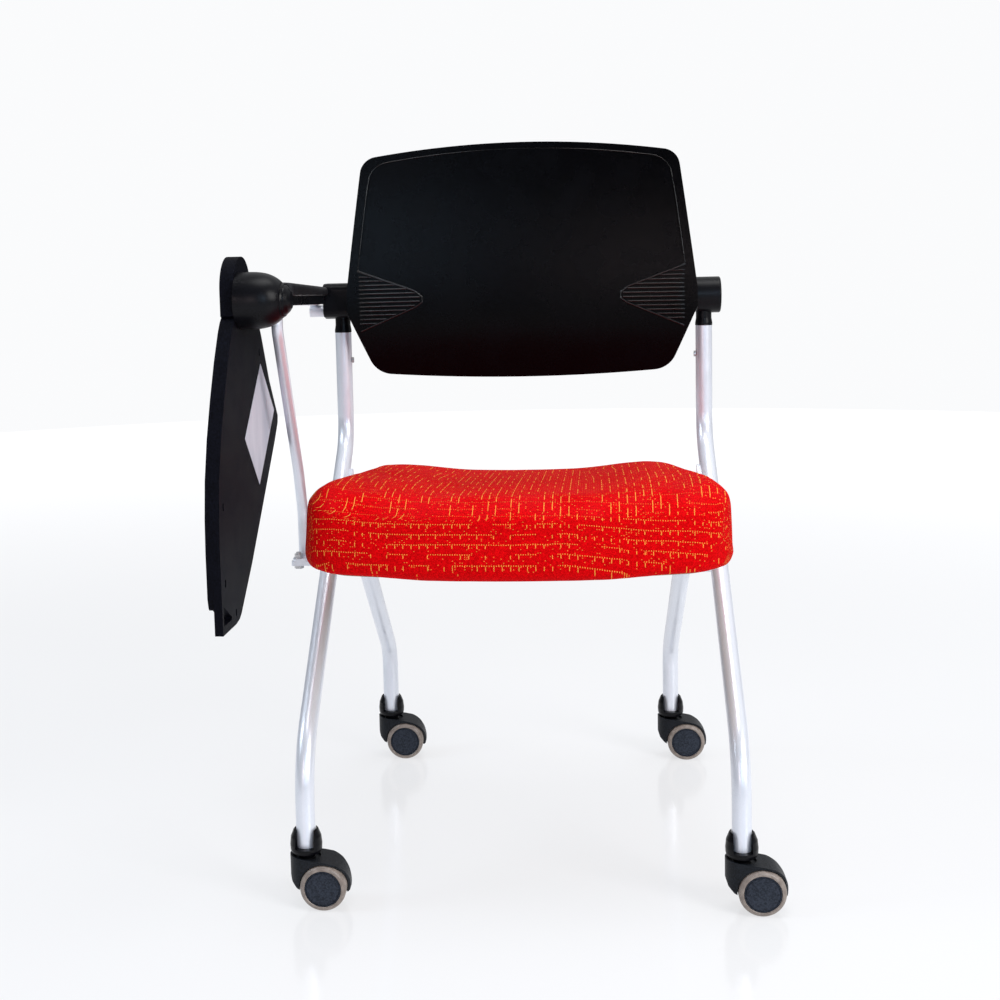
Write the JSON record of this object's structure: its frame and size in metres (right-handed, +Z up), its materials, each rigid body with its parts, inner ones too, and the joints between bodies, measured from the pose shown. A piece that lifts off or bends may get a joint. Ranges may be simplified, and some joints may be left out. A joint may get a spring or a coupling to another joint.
{
  "type": "student desk chair",
  "caption": "Nesting classroom chair on castors with a padded flip-up fabric seat, tilting plastic back and a writing tablet that folds down beside one arm.",
  "frame": {"origin": "on the floor under the centre of the chair's bounding box", "axes": "+Z up, the sitter faces -Y, +X to the sitter's left, the tablet arm on -X"},
  "size_m": [0.5798, 0.533, 0.803],
  "materials": {
    "silver_paint": "satin metallic",
    "zinc_steel": "satin",
    "bracket_steel": "satin",
    "pad_foam": "soft grained",
    "black_plastic": "satin",
    "shell_plastic": "fine grain",
    "board_plastic": "fine grain",
    "label_vinyl": "satin",
    "red_fabric": "woven with yellow thread",
    "plywood": "matt",
    "black_rubber": "matt",
    "hood_plastic": "grained",
    "slate_plastic": "grained",
    "tread_pu": "satin"
  },
  "bodies": {
    "frame": {"side_tube_l": "silver_paint", "side_tube_r": "silver_paint", "rear_leg_l": "silver_paint", "rear_leg_r": "silver_paint", "cross_tube": "silver_paint", "pivot_ears": "silver_paint", "seat_pivot_bolts": "zinc_steel", "arm_tube": "silver_paint", "arm_stub": "silver_paint", "flip_pin": "zinc_steel", "arm_bracket": "silver_paint", "arm_bolts": "zinc_steel", "arm_pad": "pad_foam", "arm_pad_base": "black_plastic", "hub_l": "black_plastic", "hub_r": "black_plastic", "upright_screws": "zinc_steel", "leg_socket_fl": "black_plastic", "leg_socket_fr": "black_plastic", "leg_socket_rl": "black_plastic", "leg_socket_rr": "black_plastic"},
    "back": {"back_shell": "shell_plastic", "back_pins": "zinc_steel"},
    "seat": {"seat_cushion": "red_fabric", "seat_board": "plywood", "seat_brackets": "bracket_steel", "seat_screws": "zinc_steel", "seat_buffers": "black_rubber"},
    "tablet_bell": {"bell_housing": "black_plastic"},
    "tablet": {"tablet_board": "board_plastic", "tablet_pivot": "zinc_steel", "tablet_label": "label_vinyl"},
    "caster_fl": {"hood_fl": "hood_plastic", "stem_fl": "zinc_steel", "axle_fl": "zinc_steel"},
    "wheel_fl_a": {"wheel_core_fl_a": "slate_plastic", "tread_fl_a": "tread_pu"},
    "wheel_fl_b": {"wheel_core_fl_b": "slate_plastic", "tread_fl_b": "tread_pu"},
    "caster_fr": {"hood_fr": "hood_plastic", "stem_fr": "zinc_steel", "axle_fr": "zinc_steel"},
    "wheel_fr_a": {"wheel_core_fr_a": "slate_plastic", "tread_fr_a": "tread_pu"},
    "wheel_fr_b": {"wheel_core_fr_b": "slate_plastic", "tread_fr_b": "tread_pu"},
    "caster_rl": {"hood_rl": "hood_plastic", "stem_rl": "zinc_steel", "axle_rl": "zinc_steel"},
    "wheel_rl_a": {"wheel_core_rl_a": "slate_plastic", "tread_rl_a": "tread_pu"},
    "wheel_rl_b": {"wheel_core_rl_b": "slate_plastic", "tread_rl_b": "tread_pu"},
    "caster_rr": {"hood_rr": "hood_plastic", "stem_rr": "zinc_steel", "axle_rr": "zinc_steel"},
    "wheel_rr_a": {"wheel_core_rr_a": "slate_plastic", "tread_rr_a": "tread_pu"},
    "wheel_rr_b": {"wheel_core_rr_b": "slate_plastic", "tread_rr_b": "tread_pu"}
  },
  "joints": [
    {"name": "back_tilt", "type": "hinge", "parent": "frame", "child": "back", "pos_m": [0.0205, 0.1635, 0.611], "axis": [-1, 0, 0], "range_deg": [0, 12], "stiffness_Nm_per_rad": 8, "springref_deg": -6.88},
    {"name": "seat_flip", "type": "hinge", "parent": "frame", "child": "seat", "pos_m": [0.0205, 0.1055, 0.357], "axis": [-1, 0, 0], "range_deg": [0, 70]},
    {"name": "tablet_flip", "type": "hinge", "parent": "frame", "child": "tablet_bell", "pos_m": [-0.236, -0.1405, 0.626], "axis": [0, 1, 0], "range_deg": [0, 90]},
    {"name": "tablet_swing", "type": "hinge", "parent": "tablet_bell", "child": "tablet", "pos_m": [-0.2695, -0.1405, 0.626], "axis": [-0.9986, 0.0523, 0], "range_deg": [0, 180]},
    {"name": "swivel_fl", "type": "hinge", "parent": "frame", "child": "caster_fl", "pos_m": [-0.2027, -0.2245, 0.057], "axis": [0, 0, 1], "continuous": true},
    {"name": "roll_fl_a", "type": "hinge", "parent": "caster_fl", "child": "wheel_fl_a", "pos_m": [-0.1839, -0.2245, 0.024], "axis": [0, 1, 0], "continuous": true},
    {"name": "roll_fl_b", "type": "hinge", "parent": "caster_fl", "child": "wheel_fl_b", "pos_m": [-0.1839, -0.2245, 0.024], "axis": [0, 1, 0], "continuous": true},
    {"name": "swivel_fr", "type": "hinge", "parent": "frame", "child": "caster_fr", "pos_m": [0.2437, -0.2245, 0.057], "axis": [0, 0, 1], "continuous": true},
    {"name": "roll_fr_a", "type": "hinge", "parent": "caster_fr", "child": "wheel_fr_a", "pos_m": [0.2625, -0.2245, 0.024], "axis": [0, 1, 0], "continuous": true},
    {"name": "roll_fr_b", "type": "hinge", "parent": "caster_fr", "child": "wheel_fr_b", "pos_m": [0.2625, -0.2245, 0.024], "axis": [0, 1, 0], "continuous": true},
    {"name": "swivel_rl", "type": "hinge", "parent": "frame", "child": "caster_rl", "pos_m": [-0.1648, 0.2455, 0.057], "axis": [0, 0, 1], "continuous": true},
    {"name": "roll_rl_a", "type": "hinge", "parent": "caster_rl", "child": "wheel_rl_a", "pos_m": [-0.146, 0.2455, 0.024], "axis": [0, 1, 0], "continuous": true},
    {"name": "roll_rl_b", "type": "hinge", "parent": "caster_rl", "child": "wheel_rl_b", "pos_m": [-0.146, 0.2455, 0.024], "axis": [0, 1, 0], "continuous": true},
    {"name": "swivel_rr", "type": "hinge", "parent": "frame", "child": "caster_rr", "pos_m": [0.2058, 0.2455, 0.057], "axis": [0, 0, 1], "continuous": true},
    {"name": "roll_rr_a", "type": "hinge", "parent": "caster_rr", "child": "wheel_rr_a", "pos_m": [0.2246, 0.2455, 0.024], "axis": [0, 1, 0], "continuous": true},
    {"name": "roll_rr_b", "type": "hinge", "parent": "caster_rr", "child": "wheel_rr_b", "pos_m": [0.2246, 0.2455, 0.024], "axis": [0, 1, 0], "continuous": true}
  ]
}
